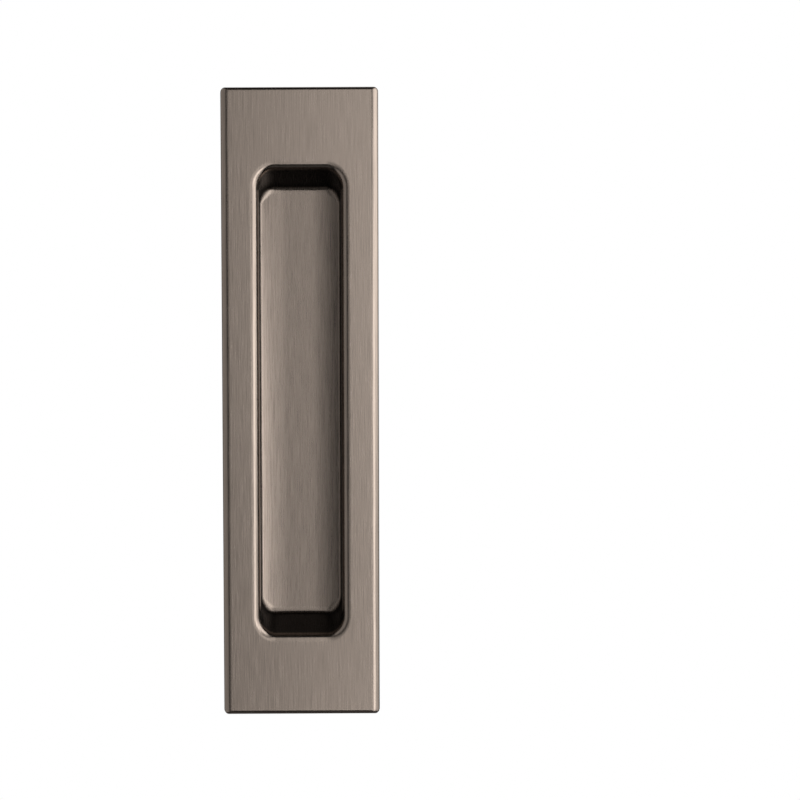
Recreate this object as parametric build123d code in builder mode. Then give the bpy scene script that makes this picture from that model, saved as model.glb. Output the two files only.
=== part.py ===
"""Flush pull for a sliding door: one casting, a rectangular plate with a long finger cup.

Millimetres. X is the plate's width, +Z is up along its length and +Y points into the door.
The origin is the middle of the plane where the plate sits on the door's face, so the
plate lies in front of it, at negative Y, and the cup reaches behind it into the mortise.
"""

from build123d import *
from math import cos, radians, tan
import os

# Plate
plate_length = 160.0
plate_width = 40.0
plate_thickness = 3.0
plate_edge_radius = 1.8  # the front edges
plate_corner_radius = 1.1  # the four corners, seen from the front

# Finger cup, measured where its walls would meet the plate's face if the rim was sharp
opening_length = 120.1
opening_width = 21.3
cup_depth = 11.0  # from the plate's face to the cup's floor
side_draft = 1.5  # degrees, the two long walls
end_draft = 24.5  # degrees, the two end walls
cup_corner_radius = 4.0  # between neighbouring walls
floor_radius = 1.6  # from each wall into the floor
rim_radius = 1.8
cup_wall = 1.6

# Back of the plate, cored out so that the casting has an even thickness
seat_width = 2.2  # the land round the edge, which sits on the door
core_depth = 1.2
core_corner_radius = 1.0
root_radius = 0.8  # between the core and the cup's outside

# Stiffening ribs in the core, which stay clear of the door
rib_width = 1.2
rib_setback = 0.3
end_rib_count = 3
end_rib_pitch = 8.0
side_rib_count = 5
side_rib_pitch = 24.0

# Grip ribs on the cup's long sides: straight, where the walls are drafted, to fill the mortise
grip_rib_count = 4
grip_rib_width = 1.6
grip_rib_height = 0.5  # beyond the cup's wall, at the door's face
grip_rib_reach = 5.5  # behind the door's face
grip_lead = 0.6  # chamfer where the rib enters the mortise

seat_plane = Plane.XZ
core_plane = seat_plane.offset(core_depth)


def cup_size(depth, skin):
    """Width and length of the cup at a depth below the face, with its walls grown by a skin."""
    width = opening_width - 2 * depth * tan(radians(side_draft)) + 2 * skin / cos(radians(side_draft))
    length = opening_length - 2 * depth * tan(radians(end_draft)) + 2 * skin / cos(radians(end_draft))
    return width, length


def cup_form(skin):
    """The space inside the cup or, with a skin, the form of the cup's outside."""
    mouth_width, mouth_length = cup_size(0, skin)
    floor_width, floor_length = cup_size(cup_depth + skin, skin)
    mouth_y = -plate_thickness
    floor_y = mouth_y + cup_depth + skin
    with BuildPart() as form:
        with BuildSketch(Plane.XY):
            with BuildLine():
                mouth_corners = (-mouth_width / 2, mouth_y), (mouth_width / 2, mouth_y)
                floor_corners = (floor_width / 2, floor_y), (-floor_width / 2, floor_y)
                Polyline(*mouth_corners, *floor_corners, close=True)
            make_face()
        extrude(amount=mouth_length / 2, both=True)
        with BuildSketch(Plane.YZ):
            with BuildLine():
                mouth_corners = (mouth_y, -mouth_length / 2), (mouth_y, mouth_length / 2)
                floor_corners = (floor_y, floor_length / 2), (floor_y, -floor_length / 2)
                Polyline(*mouth_corners, *floor_corners, close=True)
            make_face()
        extrude(amount=mouth_width / 2, both=True, mode=Mode.INTERSECT)
        mouth, floor = form.faces().sort_by(Axis.Y)[0], form.faces().sort_by(Axis.Y)[-1]
        fillet(form.edges() - mouth.edges() - floor.edges(), radius=cup_corner_radius + skin)
        fillet(form.faces().sort_by(Axis.Y)[-1].edges(), radius=floor_radius + skin)
    return form.part


cup_space = cup_form(0)
cup_outside = cup_form(cup_wall)

# Bars right across the cup, of which only the ends outside its walls are left
with BuildPart() as grip_bars:
    cup_width_at_door = cup_size(plate_thickness, cup_wall)[0]
    with BuildSketch(core_plane):
        with GridLocations(0, side_rib_pitch, 1, grip_rib_count):
            Rectangle(cup_width_at_door + 2 * grip_rib_height, grip_rib_width)
    extrude(amount=-core_depth - grip_rib_reach)
    bar_ends = grip_bars.faces().group_by(Axis.Y)[-1]
    chamfer(bar_ends.edges().filter_by(Axis.Z), length=grip_lead)

with BuildPart() as flush_pull:
    # Plate with its rounded corners and front edges
    with BuildSketch(seat_plane):
        Rectangle(plate_width, plate_length)
    extrude(amount=plate_thickness)
    fillet(flush_pull.edges().filter_by(Axis.Y), radius=plate_corner_radius)
    fillet(flush_pull.faces().sort_by(Axis.Y)[0].edges(), radius=plate_edge_radius)

    # Core behind the plate, inside the land that sits on the door
    core_width = plate_width - 2 * seat_width
    core_length = plate_length - 2 * seat_width
    with BuildSketch(seat_plane):
        RectangleRounded(core_width, core_length, core_corner_radius)
    extrude(amount=core_depth, mode=Mode.SUBTRACT)

    # Outside of the cup, with a radius where it leaves the core
    add(cup_outside)
    core_floor = flush_pull.faces().filter_by(Axis.Y).filter_by_position(Axis.Y, -core_depth, -core_depth)[0]
    fillet(core_floor.inner_wires()[0].edges(), radius=root_radius)

    # Stiffening ribs, from the land to the cup
    with BuildSketch(core_plane):
        with GridLocations(end_rib_pitch, 0, end_rib_count, 1):
            Rectangle(rib_width, core_length)
        with GridLocations(0, side_rib_pitch, 1, side_rib_count):
            Rectangle(core_width, rib_width)
    extrude(amount=rib_setback - core_depth)

    # Grip ribs, halfway between the stiffening ribs
    add(grip_bars.part)

    # Inside of the cup
    add(cup_space, mode=Mode.SUBTRACT)
    rim = flush_pull.faces().sort_by(Axis.Y)[0].inner_wires()[0]
    fillet(rim.edges(), radius=rim_radius)

flush_pull.part.label = "flush_pull"

os.makedirs("parts", exist_ok=True)
export_step(flush_pull.part, "parts/flush_pull.step")
print("flush_pull", len(flush_pull.solids()), "solid", round(flush_pull.part.volume), "mm3")
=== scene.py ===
"""Looks of the sliding door's flush pull: a brushed pewter casting under soft studio light.

Metres, in the model's own frame: X across the plate, +Z up along it, +Y into the door.
The face of the plate looks towards -Y and the back of the cup towards +Y.
"""

from math import cos, pi, radians, sin

import bmesh
import bpy
import numpy as np
from mathutils import Matrix, Vector


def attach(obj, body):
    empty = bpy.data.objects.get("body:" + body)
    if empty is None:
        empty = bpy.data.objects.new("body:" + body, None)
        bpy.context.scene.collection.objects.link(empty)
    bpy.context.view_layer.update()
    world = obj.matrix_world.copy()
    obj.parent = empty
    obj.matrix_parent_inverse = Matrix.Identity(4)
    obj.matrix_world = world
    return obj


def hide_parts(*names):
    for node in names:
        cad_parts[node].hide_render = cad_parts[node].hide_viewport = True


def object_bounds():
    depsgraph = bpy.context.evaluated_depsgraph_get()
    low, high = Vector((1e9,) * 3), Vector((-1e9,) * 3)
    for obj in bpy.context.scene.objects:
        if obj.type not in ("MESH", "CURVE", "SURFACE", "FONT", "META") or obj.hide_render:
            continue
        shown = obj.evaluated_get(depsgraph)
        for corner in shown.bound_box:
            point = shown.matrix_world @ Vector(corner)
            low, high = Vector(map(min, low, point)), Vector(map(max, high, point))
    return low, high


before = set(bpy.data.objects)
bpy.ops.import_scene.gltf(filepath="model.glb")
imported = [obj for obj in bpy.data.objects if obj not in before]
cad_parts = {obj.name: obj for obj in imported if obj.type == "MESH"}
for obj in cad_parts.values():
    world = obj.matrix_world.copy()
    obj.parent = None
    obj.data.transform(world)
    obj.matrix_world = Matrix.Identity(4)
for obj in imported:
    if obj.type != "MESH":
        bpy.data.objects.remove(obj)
cad_low, cad_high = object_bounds()

MM = 0.001

# The plate: its outline and thickness come from the frame
plate_half = np.array([cad_high.x, cad_high.z])
face_y = cad_low.y
plate_thickness = -face_y
plate_corner_radius = 1.2 * MM
side_edge = np.array([2.15, 1.9]) * MM  # how far the front edge's round goes in and back
end_edge = np.array([1.25, 1.2]) * MM

# The cup: a pair is for its long sides and for its ends
opening_half = np.array([10.5, 60.05]) * MM
cup_wall = 1.6 * MM
cup_depth = cad_high.y - face_y - cup_wall
cup_corner_radius = 4.0 * MM
rim_radius = 2.2 * MM

# Its outside, as cast
cast_drafts = np.radians([1.5, 24.5])
cast_floor_radii = np.array([1.6, 1.6]) * MM

# Its inside, brushed: straight long walls with a tight foot, and a floor dished up to them
brushed_drafts = np.radians([0.0, 24.5])
brushed_floor_radii = np.array([0.8, 2.3]) * MM
corner_onset = 1.3  # how closely the ends' larger radius keeps to the middle of a corner
dish_width = 7.0 * MM
dish_slope = 0.35
dish_fade = 3.0 * MM  # how far up the walls the dish fades out

# The back of the plate
seat_width = 2.2 * MM
core_depth = 1.2 * MM
core_corner_radius = 1.0 * MM
core_fillet = 0.35 * MM
root_radius = 0.8 * MM
broken_edge = 0.15 * MM
core_floor = plate_thickness - core_depth

# Ribs in the core and beside the cup
rib_width = 1.2 * MM
rib_setback = 0.3 * MM
rib_edge = 0.25 * MM
end_rib_places = np.array([-8, 0, 8]) * MM
side_rib_places = np.array([-48, -24, 0, 24, 48]) * MM
grip_rib_places = np.array([-36, -12, 12, 36]) * MM
grip_rib_width = 1.6 * MM
grip_rib_height = 0.5 * MM
grip_rib_reach = 5.5 * MM
grip_lead = 0.6 * MM
buried = 0.7 * MM  # how far a rib runs on inside what carries it
seam = 0.01 * MM  # how far a rib's foot is below the surface that it leaves
merge_distance = 1e-4 * MM

# How finely the forms are divided
corner_columns = 26
side_columns = 44
end_columns = 14
middle_steps = 16
floor_steps = 20
wall_steps = 8
mouth_steps = 14
edge_steps = 18
core_foot_steps = 5
rib_round_steps = 4
small_steps = 3

# Directions, as (x, depth below the face, z)
DOWN = np.array([0.0, 1.0, 0.0])
UP = -DOWN


def steps(count, hem=0.012):
    """Values from 0 to 1 in even steps, with a narrow first and last step to hold the shading."""
    return np.concatenate([[0.0], np.linspace(hem, 1 - hem, count), [1.0]])


def quarter(count):
    """The sines and the cosines of a quarter turn, in even steps."""
    angle = steps(count) * pi / 2
    return np.sin(angle), np.cos(angle)


def ring_columns():
    """The columns that run round the form: each one's place, signs and turn.

    The place is on a unit rectangle, the signs say which walls the column belongs to, and the
    turn goes from 0 on a side wall to 1 on an end wall. Columns in a corner share one place
    and turn, and those on a wall keep one turn and move along.
    """
    along_side = steps(side_columns)[1:-1] * 2 - 1
    along_end = steps(end_columns)[1:-1] * 2 - 1
    corner = steps(corner_columns)
    runs = []
    for sx, sz in ((1, -1), (1, 1), (-1, 1), (-1, -1)):
        leads_to_end = sx == sz
        turns = corner if leads_to_end else corner[::-1]
        runs.append((np.full(len(turns), sx), np.full(len(turns), sz), sx, sz, turns))
        if leads_to_end:
            runs.append((-sx * along_end, np.full(end_columns, sz), sx, sz, np.ones(end_columns)))
        else:
            runs.append((np.full(side_columns, sx), -sz * along_side, sx, sz, np.zeros(side_columns)))
    place = np.concatenate([np.stack(run[:2], axis=1) for run in runs])
    sign = np.concatenate([np.tile(run[2:4], (len(run[4]), 1)) for run in runs])
    return place, sign, np.concatenate([run[4] for run in runs])


place, sign, turn = ring_columns()
at_end = np.sin(turn * pi / 2) ** 2  # each column's share of an end's sizes, not a side's


def turned(start, end, amount):
    """Unit vectors turned from start towards end: each is weighted by the sine of what is left."""
    angle = np.arccos((start * end).sum(axis=-1, keepdims=True))
    return (np.sin((1 - amount) * angle) * start + np.sin(amount * angle) * end) / np.sin(angle)


class CupForm:
    """The inside or the outside of the cup, in rows of points from its floor to its mouth.

    The skin is how far the surface stands outside the space in the cup: nothing for the
    inside, the wall's thickness for the outside.
    """

    def __init__(self, drafts, floor_radii, skin):
        self.drafts = drafts
        self.skin = skin
        at_side, at_end_wall = floor_radii
        along_walls = at_side + (at_end_wall - at_side) * at_end
        in_corner = np.sin(turn * pi) ** corner_onset
        self.floor_radius = along_walls + (at_end_wall - along_walls) * in_corner
        self.into_wall = self.wall_directions()

    def wall_directions(self):
        """For each column, the direction straight into its wall: the side's turned into the end's."""
        none = np.zeros(len(turn))
        side_draft, end_draft = self.drafts
        side = np.stack([sign[:, 0] * cos(side_draft), none + sin(side_draft), none], axis=1)
        end = np.stack([none, none + sin(end_draft), sign[:, 1] * cos(end_draft)], axis=1)
        return turned(side, end, turn[:, None])

    def ball_centres(self, depth):
        """Where a ball of the corners' radius touches the walls, for each depth below the face.

        Its rectangle is the opening, less the depth times the draft's tangent, less the radius
        over the draft's cosine. The cup's outside has the same centres and a larger ball.
        """
        inset = depth[..., None] * np.tan(self.drafts) + cup_corner_radius / np.cos(self.drafts)
        flat = (opening_half - inset) * place
        return np.stack([flat[..., 0], depth + 0 * turn, flat[..., 1]], axis=-1)

    def lowest_depths(self):
        """How deep the corners' ball is where its wall ends at the radius into the floor.

        The floor's smaller ball touches the wall from inside, so its centre is further into
        the wall by the difference of the two radii.
        """
        smaller = cup_corner_radius - self.floor_radius
        return cup_depth - self.floor_radius - smaller * self.into_wall[:, 1]

    def floor_rows(self):
        """The radius into the floor: its ball, grown by the skin, turned from down to the wall."""
        smaller = (cup_corner_radius - self.floor_radius)[:, None]
        centre = self.ball_centres(self.lowest_depths()) + smaller * self.into_wall
        ball = (self.floor_radius + self.skin)[:, None]
        return centre + ball * turned(DOWN, self.into_wall, steps(floor_steps)[:, None, None])

    def mouth_depths(self, ball, level):
        """How deep the corners' ball is where its wall meets a ball that rolls on a plane outside it.

        The two balls touch, so their centres are both radii apart along the wall's direction,
        and the outer ball's centre is its own radius past the plane's level.
        """
        return level + ball - (cup_corner_radius + self.skin + ball) * self.into_wall[:, 1]

    def wall_rows(self, ball, level):
        """The straight wall, from the floor's radius to the radius at its mouth."""
        low = self.lowest_depths()
        rise = self.mouth_depths(ball, level) - low
        depth = low + rise * np.linspace(0, 1, wall_steps)[1:-1, None]
        return self.ball_centres(depth) + (cup_corner_radius + self.skin) * self.into_wall

    def mouth_rows(self, ball, level):
        """The radius at the wall's mouth: a ball outside the wall, turned from the wall to face up."""
        reach = cup_corner_radius + self.skin + ball
        centre = self.ball_centres(self.mouth_depths(ball, level)) + reach * self.into_wall
        return centre + ball * turned(-self.into_wall, UP, steps(mouth_steps)[:, None, None])


def dished(rows):
    """The inside of the cup with the sides of its floor curved up to the long walls.

    The rise is a parabola: the slope times the square of how far a point is into the dish,
    over twice the dish's width. Up the walls it fades out.
    """
    wall = opening_half[0] - cup_depth * np.tan(brushed_drafts[0])
    into_dish = np.clip(dish_width - wall + np.abs(rows[..., 0]), 0, dish_width)
    fade = np.clip((rows[..., 1] - cup_depth + dish_fade) / dish_fade, 0, 1)
    return rows - (fade * dish_slope * into_dish**2 / (2 * dish_width))[..., None] * DOWN


def outline_rows(inset, corner, depth):
    """Rounded rectangles about the middle, one for each inset from the plate's edge.

    A corner's middle is its radius inside both edges, and each column stands off it by the
    radius, at the cosine and sine of its quarter turn.
    """
    given = (np.asarray(values, float) for values in (inset, corner, depth))
    inset, corner, depth = (values.reshape(len(values), -1) for values in given)
    x = (plate_half[0] - inset - corner) * place[:, 0] + corner * sign[:, 0] * np.cos(turn * pi / 2)
    z = (plate_half[1] - inset - corner) * place[:, 1] + corner * sign[:, 1] * np.sin(turn * pi / 2)
    return np.stack([x, depth + 0 * x, z], axis=-1)


def edge_rows():
    """The front edge: a quarter of an ellipse, from the face back to the plate's side.

    How far it goes in and back changes round each corner, from the sides' size to the ends'.
    """
    sine, cosine = quarter(edge_steps)
    corner = np.full(len(sine), plate_corner_radius)
    inward, back = side_edge[:, None] + (end_edge - side_edge)[:, None] * at_end
    return outline_rows(np.outer(1 - sine, inward), corner, np.outer(1 - cosine, back))


def land_rows():
    """The land that sits on the door, between two small quarter circles."""
    sine, cosine = quarter(small_steps)
    shoulder = plate_thickness - broken_edge
    outer_inset = broken_edge * (1 - cosine)
    outer_corner = plate_corner_radius - outer_inset
    outer = outline_rows(outer_inset, outer_corner, shoulder + broken_edge * sine)
    inner_inset = seat_width - broken_edge * (1 - sine)
    inner_corner = core_corner_radius + seat_width - inner_inset
    inner = outline_rows(inner_inset, inner_corner, shoulder + broken_edge * cosine)
    return np.concatenate([outer, inner])


def core_rows():
    """The foot of the core's wall: a quarter circle that turns into the core's floor."""
    sine, cosine = quarter(core_foot_steps)
    inset = seat_width + core_fillet * (1 - cosine)
    corner = core_corner_radius - core_fillet * (1 - cosine)
    return outline_rows(inset, corner, core_floor + core_fillet * (1 - sine))


def middle_rows(ring):
    """Rows that close a ring over its flat floor, in even steps from a line along its middle.

    The line is shorter than the ring by the ring's width.
    """
    half = np.abs(ring).max(axis=0)
    line = ring.copy()
    line[:, 0] = 0
    line[:, 2] = ring[:, 2] * (half[2] - half[0]) / half[2]
    return line + (ring - line) * np.linspace(0, 1, middle_steps)[:-1, None, None]


def worn(rows, handled):
    """How much handling has polished a part: most in the middle of a round, none at its ends."""
    return np.sin(np.linspace(0, pi, len(rows))) ** 2 * handled


def placed(name, data):
    """A new object in the scene, with its mesh, lamp or lens."""
    thing = bpy.data.objects.new(name, data)
    bpy.context.collection.objects.link(thing)
    return thing


def finished_mesh(name, points, faces, wear, finishes, face_finish=None):
    """A piece from points given as (x, depth, z), with its doubles merged and its faces outwards."""
    mesh = bpy.data.meshes.new(name)
    mesh.from_pydata((points + [0, face_y, 0]).tolist(), [], faces.tolist())
    for finish in finishes:
        mesh.materials.append(finish)
    if face_finish is not None:
        mesh.polygons.foreach_set("material_index", face_finish)
    mesh.attributes.new("wear", "FLOAT", "POINT").data.foreach_set("value", wear)
    form = bmesh.new()
    form.from_mesh(mesh)
    bmesh.ops.remove_doubles(form, verts=form.verts, dist=merge_distance)
    bmesh.ops.dissolve_degenerate(form, edges=form.edges, dist=merge_distance)
    bmesh.ops.recalc_face_normals(form, faces=form.faces)
    form.to_mesh(mesh)
    form.free()
    mesh.shade_smooth()
    piece = placed(name, mesh)
    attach(piece, "root")
    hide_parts("flush_pull")


def wrapped_faces(row_count, column_count):
    """Quads between neighbouring rows, with the last column joined to the first."""
    index = np.arange(row_count * column_count).reshape(row_count, column_count)
    beside = np.roll(index, -1, axis=1)
    return np.stack([index[:-1], index[1:], beside[1:], beside[:-1]], axis=-1).reshape(-1, 4)


def flush_pull_casting(front_finish, back_finish):
    """The casting but for its ribs: rows from the cup's floor, over the rim and round the plate.

    They end in the middle of the cup's back. The front finish ends with the front edge.
    """
    inside = CupForm(brushed_drafts, brushed_floor_radii, 0)
    outside = CupForm(cast_drafts, cast_floor_radii, cup_wall)
    floor, back_floor = inside.floor_rows(), outside.floor_rows()[::-1]
    rim, edge, land = inside.mouth_rows(rim_radius, 0), edge_rows(), land_rows()
    front = [
        dished(middle_rows(floor[0])),
        dished(floor),
        dished(inside.wall_rows(rim_radius, 0)),
        rim,
        edge,
    ]
    back = [
        land,
        core_rows(),
        outside.mouth_rows(root_radius, core_floor)[::-1],
        outside.wall_rows(root_radius, core_floor)[::-1],
        back_floor,
        middle_rows(back_floor[-1])[::-1],
    ]
    rows = np.concatenate(front + back)
    handled = [any(part is touched for touched in (rim, edge, land)) for part in front + back]
    wear = np.concatenate([worn(*part) for part in zip(front + back, handled)])
    faces = wrapped_faces(len(rows), len(turn))
    front_face_count = sum(map(len, front)) * len(turn)
    face_finish = (np.arange(len(faces)) >= front_face_count).astype(np.int32)
    wear = np.repeat(wear, len(turn))
    finishes = (front_finish, back_finish)
    finished_mesh("flush_pull_casting", rows.reshape(-1, 3), faces, wear, finishes, face_finish)


def corner_arcs(corners, radii):
    """Each corner's arc on a closed outline: its middle, and the directions from there to the arc.

    The middle is on the corner's bisector, the radius over the sine of half its angle away.
    """
    radii = radii[:, None]
    back = np.roll(corners, 1, axis=0) - corners
    ahead = np.roll(corners, -1, axis=0) - corners
    back /= np.linalg.norm(back, axis=1, keepdims=True)
    ahead /= np.linalg.norm(ahead, axis=1, keepdims=True)
    half_sine = np.linalg.norm(ahead - back, axis=1, keepdims=True) / 2
    half_cosine = np.linalg.norm(ahead + back, axis=1, keepdims=True) / 2
    middle = corners + (ahead + back) / (2 * half_cosine) * radii / half_sine
    foot = radii * half_cosine / half_sine
    first, last = ((corners + foot * side - middle) / radii for side in (back, ahead))
    return middle[:, None], turned(first[:, None], last[:, None], steps(rib_round_steps)[:, None])


def closed_rows(rows):
    """The rows with a point in the middle of the first and of the last, to close the form."""
    first, last = (np.broadcast_to(row.mean(axis=0), row.shape)[None] for row in (rows[0], rows[-1]))
    return np.concatenate([first, rows, last])


both_sides = np.array([(-1, 1, 1), (1, 1, 1)])
both_ends = np.array([(1, 1, -1), (1, 1, 1)])


def copies(name, rows, mirrors, moves, finish):
    """One piece of several closed forms: the rows of the first, mirrored and moved to each place."""
    rows = closed_rows(rows)
    points = rows.reshape(-1, 3)
    points = np.concatenate([points * mirror + move for move in moves for mirror in mirrors])
    faces = wrapped_faces(*rows.shape[:2])
    offsets = np.arange(len(moves) * len(mirrors)) * len(rows) * rows.shape[1]
    faces = (faces + offsets[:, None, None]).reshape(-1, 4)
    finished_mesh(name, points, faces, np.zeros(len(points)), (finish,))


def cup_outside(depth):
    """How far the cup's outside is from the middle, to a side and to an end, at a depth."""
    return opening_half - depth * np.tan(cast_drafts) + cup_wall / np.cos(cast_drafts)


def stiffening_ribs(finish):
    """The ribs in the core: a rounded section with a filleted foot, carried from the cup to the land."""
    side, foot = rib_width / 2, rib_width / 2 + core_fillet + seam
    top = plate_thickness - rib_setback
    half_outline = np.array([
        (foot, core_floor - buried / 2),
        (foot, core_floor - seam),
        (side, core_floor - seam),
        (side, top),
    ])
    half_radii = np.array([seam / 2, seam / 2, core_fillet, rib_edge])
    corners = np.concatenate([half_outline, half_outline[::-1] * [-1, 1]])
    radii = np.concatenate([half_radii, half_radii[::-1]])
    middle, direction = corner_arcs(corners, radii)
    across, depth = (middle + radii[:, None, None] * direction).reshape(-1, 2).T
    from_cup, to_land = cup_outside(top) - buried, plate_half - seat_width + buried
    along = from_cup + (to_land - from_cup) * steps(small_steps)[:, None]
    side_rows = np.stack(np.broadcast_arrays(along[:, :1], depth, across), axis=-1)
    copies("side_ribs", side_rows, both_sides, np.outer(side_rib_places, [0, 0, 1]), finish)
    end_rows = np.stack(np.broadcast_arrays(across, depth, along[:, 1:]), axis=-1)
    copies("end_ribs", end_rows, both_ends, np.outer(end_rib_places, [1, 0, 0]), finish)


def grip_ribs(finish):
    """The ribs on the cup's long sides: a profile with a chamfered lead, given thickness along Z.

    Every edge is a quarter circle of one radius: the profile's arcs shrink with the cosine as
    the sides move out with the sine.
    """
    outer = cup_outside(plate_thickness)[0] + grip_rib_height
    inner = outer - 2 * buried
    top, end = core_floor - buried / 2, plate_thickness + grip_rib_reach
    corners = np.array([
        (inner, top),
        (outer, top),
        (outer, end - grip_lead),
        (outer - grip_lead, end),
        (inner, end),
    ])
    middle, direction = corner_arcs(corners, np.full(len(corners), broken_edge))
    angle = steps(small_steps) * pi / 2
    angle = np.concatenate([angle - pi / 2, angle])
    profile = middle + broken_edge * np.cos(angle)[:, None, None, None] * direction
    profile = profile.reshape(len(angle), -1, 2)
    side = (grip_rib_width / 2 - broken_edge) * np.where(angle < 0, -1, 1)
    side = side + broken_edge * np.sin(angle)
    rows = np.stack(np.broadcast_arrays(profile[..., 0], profile[..., 1], side[:, None]), axis=-1)
    copies("grip_ribs", rows, both_sides, np.outer(grip_rib_places, [0, 0, 1]), finish)


# Finishes: each pair of colours, and of roughnesses, is what a surface varies between
face_pewter = (0.34, 0.281, 0.238), (0.44, 0.363, 0.309)
# painted shade: the cup's colours are darker than the face's
shaded_cup_pewter = (0.29, 0.239, 0.203), (0.39, 0.321, 0.273)
cast_pewter = (0.3, 0.247, 0.21), (0.42, 0.347, 0.296)
# painted shade: a near-black colour put on the cup's steep walls
painted_shade_colour = (0.036, 0.033, 0.031)
brushed_roughness = (0.22, 0.28)
cast_roughness = (0.32, 0.46)
polish_on_rounds = 0.06  # how much less rough
dullness_in_cup = 0.03  # how much rougher
broad_scratch_share = 0.06
scratch_depth = 1.5e-6
cast_skin_depth = 1.5e-5
cast_skin_scale = 1500.0  # grains in a metre
anisotropy = 0.7
tangent_lean = 0.03

# Where an effect sets in and where it is full
noise_range = (0.3, 0.7)
tone_range = (0.35, 0.65)
facing_up_range = (0.1, 0.5)
steep_range = (0.85, 0.5)
cup_shade_depths = (face_y + 2 * MM, face_y + 8 * MM)
# painted shade: how deep below the face the steep walls' painted shade sets in and is full
painted_shade_depths = (face_y + 1 * MM, face_y + 2.2 * MM)


def node_maker(tree):
    """A shorthand that adds a node, sets its properties, and then its sockets' values or links."""

    def add(kind, sockets=None, **properties):
        node = tree.nodes.new(kind)
        for name, value in properties.items():
            setattr(node, name, value)
        for name, value in (sockets or {}).items():
            if isinstance(value, bpy.types.NodeSocket):
                tree.links.new(value, node.inputs[name])
            else:
                node.inputs[name].default_value = value
        return node

    return add


def new_effect(name, inputs, outputs):
    """A node group with its sockets, and the shorthand that adds its nodes."""
    tree = bpy.data.node_groups.new(name, "ShaderNodeTree")
    for socket, value in inputs.items():
        given = tree.interface.new_socket(name=socket, in_out="INPUT", socket_type="NodeSocketFloat")
        given.default_value = value
    for socket in outputs:
        tree.interface.new_socket(name=socket, in_out="OUTPUT", socket_type="NodeSocketFloat")
    return tree, node_maker(tree)


def new_finish(name):
    """An empty material and the shorthand that adds its nodes."""
    finish = bpy.data.materials.new(name)
    finish.use_nodes = True
    finish.node_tree.nodes.clear()
    return finish, node_maker(finish.node_tree)


def reckoned(add, operation, *values):
    """What a Math node makes of one or two values."""
    return add("ShaderNodeMath", dict(enumerate(values)), operation=operation).outputs[0]


def ramped(add, value, start, end, low=0.0, high=1.0, kind="LINEAR"):
    """A value carried from one range to another, and held past its ends."""
    ranges = {"From Min": start, "From Max": end, "To Min": low, "To Max": high}
    return add("ShaderNodeMapRange", {"Value": value, **ranges}, interpolation_type=kind).outputs[0]


def blended(add, factor, first, second):
    """A value between two others."""
    sockets = {"Factor": factor, 2: first, 3: second}
    return add("ShaderNodeMix", sockets, data_type="FLOAT").outputs[0]


def tinted(add, factor, dark, light):
    """A colour between two others, by a factor that varies over the surface."""
    sockets = {"Factor": factor}
    for index, colour in ((6, dark), (7, light)):
        sockets[index] = colour if isinstance(colour, bpy.types.NodeSocket) else (*colour, 1)
    return add("ShaderNodeMix", sockets, data_type="RGBA").outputs[2]


def object_place(add):
    """Where a point of the surface is, in the model's frame."""
    return add("ShaderNodeTexCoord").outputs["Object"]


def surface_normal(add):
    """Which way the surface faces."""
    return add("ShaderNodeNewGeometry").outputs["Normal"]


def facing(add, axis):
    """How squarely the surface faces along an axis, either way."""
    part = add("ShaderNodeSeparateXYZ", {0: surface_normal(add)}).outputs[axis]
    return reckoned(add, "ABSOLUTE", part)


def brushed_grain():
    """Fine scratches along the part's length, which run down its end walls too.

    Two stretched noises: one is fine both across and in depth, for the face and the long
    walls, the other is long in depth, for what faces up or down. The normal blends them.
    """
    inputs = {"Width": 0.4 * MM, "Length": 8 * MM, "Detail": 2.0}
    tree, add = new_effect("brushed_grain", inputs, ["Streak"])
    given = add("NodeGroupInput").outputs
    position = object_place(add)
    across = reckoned(add, "DIVIDE", 1.0, given["Width"])
    along = reckoned(add, "DIVIDE", 1.0, given["Length"])
    streaks = []
    for depth in (across, along):
        scale = add("ShaderNodeCombineXYZ", {"X": across, "Y": depth, "Z": along}).outputs[0]
        stretched = add("ShaderNodeVectorMath", {0: position, 1: scale}, operation="MULTIPLY")
        pattern = {"Vector": stretched.outputs[0], "Scale": 1.0, "Detail": given["Detail"]}
        streaks.append(add("ShaderNodeTexNoise", pattern).outputs["Fac"])
    up_or_down = ramped(add, facing(add, "Z"), *facing_up_range, kind="SMOOTHSTEP")
    add("NodeGroupOutput", {"Streak": blended(add, up_or_down, *streaks)})
    return tree


def handled_edges():
    """Polish on the rounds, broken up so that it isn't even, and the patchy film that hands leave."""
    tree, add = new_effect("handled_edges", {"Patch Size": 6 * MM}, ["Polish", "Film"])
    scale = reckoned(add, "DIVIDE", 1.0, add("NodeGroupInput").outputs["Patch Size"])
    scaled = add("ShaderNodeVectorMath", {0: object_place(add), "Scale": scale}, operation="SCALE")
    pattern = {"Vector": scaled.outputs[0], "Scale": 1.0, "Detail": 3.0}
    patches = add("ShaderNodeTexNoise", pattern).outputs["Fac"]
    wear = add("ShaderNodeAttribute", attribute_name="wear").outputs["Fac"]
    uneven = ramped(add, patches, *noise_range, low=0.6)
    add("NodeGroupOutput", {"Polish": reckoned(add, "MULTIPLY", wear, uneven), "Film": patches})
    return tree


def scratch_tangent(add):
    """The direction across the scratches: the normal crossed with the part's length.

    A little of X is added, so that it is never zero where the surface faces straight up.
    """
    sockets = {0: surface_normal(add), 1: (0, 0, 1)}
    across = add("ShaderNodeVectorMath", sockets, operation="CROSS_PRODUCT").outputs[0]
    return add("ShaderNodeVectorMath", {0: across, 1: (tangent_lean, 0, 0)}, operation="ADD").outputs[0]


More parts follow.
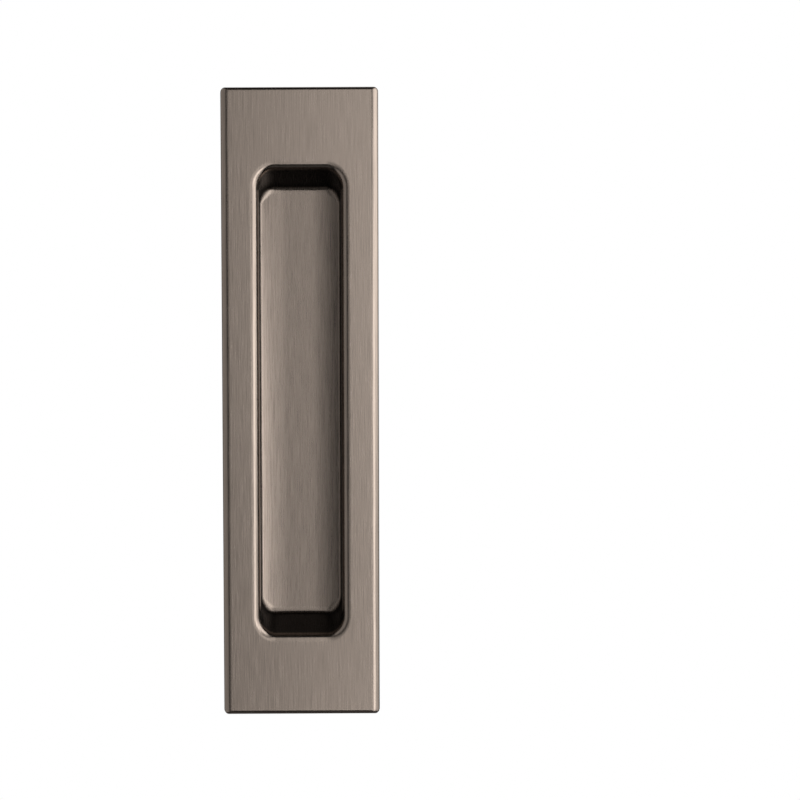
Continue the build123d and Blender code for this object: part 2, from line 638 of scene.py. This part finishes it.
def brushed_front(grain, handling):
    """The front: dark pewter nickel, brushed along the part's length, polished a little on its rounds.

    The cup is painted a little darker, as painted shade, and is duller, and its steep walls
    are painted nearly black, as painted shade.
    """
    finish, add = new_finish("brushed_pewter_front")
    fine_scratches = {"Width": 0.2 * MM, "Length": 9 * MM, "Detail": 2.0}
    broad_scratches = {"Width": 0.9 * MM, "Length": 60 * MM, "Detail": 1.0}
    fine = add("ShaderNodeGroup", fine_scratches, node_tree=grain).outputs["Streak"]
    broad = add("ShaderNodeGroup", broad_scratches, node_tree=grain).outputs["Streak"]
    handled = add("ShaderNodeGroup", {"Patch Size": 7 * MM}, node_tree=handling)
    streaks = blended(add, broad_scratch_share, fine, broad)
    depth = add("ShaderNodeSeparateXYZ", {0: object_place(add)}).outputs["Y"]
    in_cup = ramped(add, depth, *cup_shade_depths)

    tone = ramped(add, streaks, *tone_range)
    # painted shade: inside the cup the colour is tinted darker than on the face
    brushed = tinted(add, in_cup, tinted(add, tone, *face_pewter), tinted(add, tone, *shaded_cup_pewter))
    steep = ramped(add, facing(add, "Y"), *steep_range, kind="SMOOTHSTEP")
    below_rim = ramped(add, depth, *painted_shade_depths)
    # painted shade: the cup's steep walls below the rim are painted nearly black
    colour = tinted(add, reckoned(add, "MULTIPLY", steep, below_rim), brushed, painted_shade_colour)

    rough = ramped(add, streaks, *noise_range, *brushed_roughness)
    polish = reckoned(add, "MULTIPLY", handled.outputs["Polish"], polish_on_rounds)
    dullness = reckoned(add, "MULTIPLY", in_cup, dullness_in_cup)
    rough = reckoned(add, "ADD", reckoned(add, "SUBTRACT", rough, polish), dullness)

    relief = add("ShaderNodeBump", {"Height": fine, "Distance": scratch_depth, "Strength": 1.0})
    metal = add("ShaderNodeBsdfPrincipled", {
        "Base Color": colour,
        "Metallic": 1.0,
        "Roughness": rough,
        "Anisotropic": anisotropy,
        "Tangent": scratch_tangent(add),
        "Normal": relief.outputs[0],
    })
    add("ShaderNodeOutputMaterial", {"Surface": metal.outputs[0]})
    return finish


def plated_back(handling):
    """The back: the same plating over the bare skin of the casting, finely grained and not brushed."""
    finish, add = new_finish("plated_casting_back")
    handled = add("ShaderNodeGroup", {"Patch Size": 9 * MM}, node_tree=handling)
    film = handled.outputs["Film"]
    pattern = {"Vector": object_place(add), "Scale": cast_skin_scale, "Detail": 3.0}
    skin = add("ShaderNodeTexNoise", pattern).outputs["Fac"]
    relief = add("ShaderNodeBump", {"Height": skin, "Distance": cast_skin_depth, "Strength": 1.0})
    metal = add("ShaderNodeBsdfPrincipled", {
        "Base Color": tinted(add, film, *cast_pewter),
        "Metallic": 1.0,
        "Roughness": ramped(add, film, *noise_range, *cast_roughness),
        "Normal": relief.outputs[0],
    })
    add("ShaderNodeOutputMaterial", {"Surface": metal.outputs[0]})
    return finish


# The set
WHITE = (1, 1, 1, 1)
room_fill = 0.5
tent_radius = 0.4
tent_step = 2  # degrees
tent_glow = 0.015
floor_size = 1.2
floor_z = -0.45
floor_sides = 96
paper_colour = (0.8, 0.8, 0.8, 1)
paper_lift = 0.55  # what the camera sees of it beyond the light that falls on it
softbox_place = Vector((0.5, -0.35, 0.8))
softbox_size = (0.6, 0.4)
softbox_power = 6

# Cloth panels on the tent: degrees right of the lens, half width, degrees up, half height, glow
# and the degrees over which it fades
tent_panels = [
    (76, 40, 4, 42, 0.8, 8),
    (80, 26, 22, 24, 1.2, 16),
    (39, 11, -17, 25, 2.0, 10),
    (53, 6, 4, 30, 0.6, 5),
    (9, 9, 10, 48, 0.95, 5),
    (9, 9, 26, 32, 0.3, 20),
    (9, 9, -32, 6, 0.4, 5),
    (-14, 8, 10, 48, 0.42, 5),
    (0, 180, -76, 14, 0.07, 6),
    (-82, 36, 5, 50, 0.36, 10),
    (150, 28, 25, 30, 0.7, 25),
    (-150, 45, 0, 60, 0.2, 20),
]

# The camera, a little above the plate's middle, and the point of the face that it is turned to
camera_place = Vector((-0.001, face_y - 0.5, 0.027))
camera_aim = Vector((0, face_y, 0.8 * MM))
camera_roll = radians(-0.265)
focal_length = 88.55
frame_shift = 0.1242


def white_world():
    """White to the camera and in reflections, with a softer fill for what is dull."""
    world = bpy.data.worlds.new("studio")
    bpy.context.scene.world = world
    world.use_nodes = True
    world.node_tree.nodes.clear()
    add = node_maker(world.node_tree)
    path = add("ShaderNodeLightPath").outputs
    seen = reckoned(add, "MAXIMUM", path["Is Camera Ray"], path["Is Glossy Ray"])
    seen = reckoned(add, "MAXIMUM", seen, path["Is Transmission Ray"])
    fill = add("ShaderNodeBackground", {"Color": WHITE, "Strength": room_fill})
    white = add("ShaderNodeBackground", {"Color": WHITE, "Strength": 1.0})
    mixed = add("ShaderNodeMixShader", {0: seen, 1: fill.outputs[0], 2: white.outputs[0]})
    add("ShaderNodeOutputWorld", {"Surface": mixed.outputs[0]})


def panel_glow(azimuth, height):
    """The tent's glow: a dim cloth, and on it each panel, which fades out round its edge.

    A panel's share is a smooth step of how far a point is inside its edge, across and up.
    """
    glow = tent_glow + 0 * azimuth
    for across, half_width, up, half_height, brightness, fading in tent_panels:
        beside = np.abs((azimuth - across + 180) % 360 - 180)
        above = np.abs(height - up)
        share = 1
        for inside in (half_width - beside, half_height - above):
            t = np.clip(0.5 + inside / (2 * fading), 0, 1)
            share = share * t * t * (3 - 2 * t)
        glow = glow + brightness * share
    return glow


def light_tent():
    """The cloth and its panels round the pull, which only reflections show.

    A ball about the middle of the face: x is the sine of the azimuth times the cosine of the
    height, y minus the cosine of both, and z the sine of the height. Each point glows as the
    panels there do, added up.
    """
    across, up = np.arange(0, 360, tent_step), np.arange(-90, 90 + tent_step, tent_step)
    azimuth, height = np.meshgrid(np.radians(across), np.radians(up))
    out = [np.cos(height) * np.sin(azimuth), -np.cos(height) * np.cos(azimuth), np.sin(height)]
    points = tent_radius * np.stack(out, axis=-1)
    mesh = bpy.data.meshes.new("light_tent")
    mesh.from_pydata(points.reshape(-1, 3).tolist(), [], wrapped_faces(*azimuth.shape).tolist())
    glow = panel_glow(np.degrees(azimuth), np.degrees(height))
    mesh.attributes.new("glow", "FLOAT", "POINT").data.foreach_set("value", glow.ravel())
    cloth, add = new_finish("tent_cloth")
    strength = add("ShaderNodeAttribute", attribute_name="glow").outputs["Fac"]
    light = add("ShaderNodeEmission", {"Color": WHITE, "Strength": strength})
    add("ShaderNodeOutputMaterial", {"Surface": light.outputs[0]})
    mesh.materials.append(cloth)
    tent = placed("light_tent", mesh)
    for ray in ("camera", "diffuse", "transmission", "volume_scatter", "shadow"):
        setattr(tent, "visible_" + ray, False)


def pale_floor():
    """A white disc below the pull, seen only from above, that keeps the pull's shadow.

    Its points are the cosine and sine of the angle times the radius, which is 0 and then the
    floor's size.
    """
    angle = np.arange(floor_sides) * 2 * pi / floor_sides
    rim = np.stack([np.cos(angle), np.sin(angle), 0 * angle], axis=-1)
    points = rim * np.array([0.0, 1.0])[:, None, None] * floor_size + [0, 0, floor_z]
    faces = wrapped_faces(2, floor_sides)[:, ::-1]
    mesh = bpy.data.meshes.new("pale_floor")
    mesh.from_pydata(points.reshape(-1, 3).tolist(), [], faces.tolist())
    paper, add = new_finish("white_paper")
    matt = add("ShaderNodeBsdfDiffuse", {"Color": paper_colour})
    seen = add("ShaderNodeLightPath").outputs["Is Camera Ray"]
    lift = reckoned(add, "MULTIPLY", seen, paper_lift)
    white = add("ShaderNodeEmission", {"Color": WHITE, "Strength": lift})
    lit = add("ShaderNodeAddShader", {0: matt.outputs[0], 1: white.outputs[0]})
    clear = add("ShaderNodeBsdfTransparent")
    below = add("ShaderNodeNewGeometry").outputs["Backfacing"]
    one_sided = add("ShaderNodeMixShader", {0: below, 1: lit.outputs[0], 2: clear.outputs[0]})
    add("ShaderNodeOutputMaterial", {"Surface": one_sided.outputs[0]})
    mesh.materials.append(paper)
    placed("pale_floor", mesh)


def softbox():
    """One large soft lamp above and to the right, which gives the floor its shadow."""
    light = bpy.data.lights.new("softbox", "AREA")
    light.shape = "RECTANGLE"
    light.size, light.size_y = softbox_size
    light.energy = softbox_power
    lamp = placed("softbox", light)
    lamp.location = softbox_place
    lamp.rotation_euler = (-softbox_place).to_track_quat("-Z", "Y").to_euler()
    lamp.visible_glossy = False


def photographers_camera():
    """The camera, turned to the face, with the frame moved to the pull's right."""
    lens = bpy.data.cameras.new("camera")
    lens.lens = focal_length
    lens.shift_x = frame_shift
    camera = placed("camera", lens)
    camera.location = camera_place
    straight = (camera_aim - camera_place).to_track_quat("-Z", "Y").to_matrix().to_4x4()
    camera.rotation_euler = (straight @ Matrix.Rotation(camera_roll, 4, "Z")).to_euler()
    bpy.context.scene.camera = camera


grain, handling = brushed_grain(), handled_edges()
front_finish, back_finish = brushed_front(grain, handling), plated_back(handling)
flush_pull_casting(front_finish, back_finish)
stiffening_ribs(back_finish)
grip_ribs(back_finish)
white_world()
light_tent()
pale_floor()
softbox()
photographers_camera()
bpy.context.scene.view_settings.view_transform = "Standard"
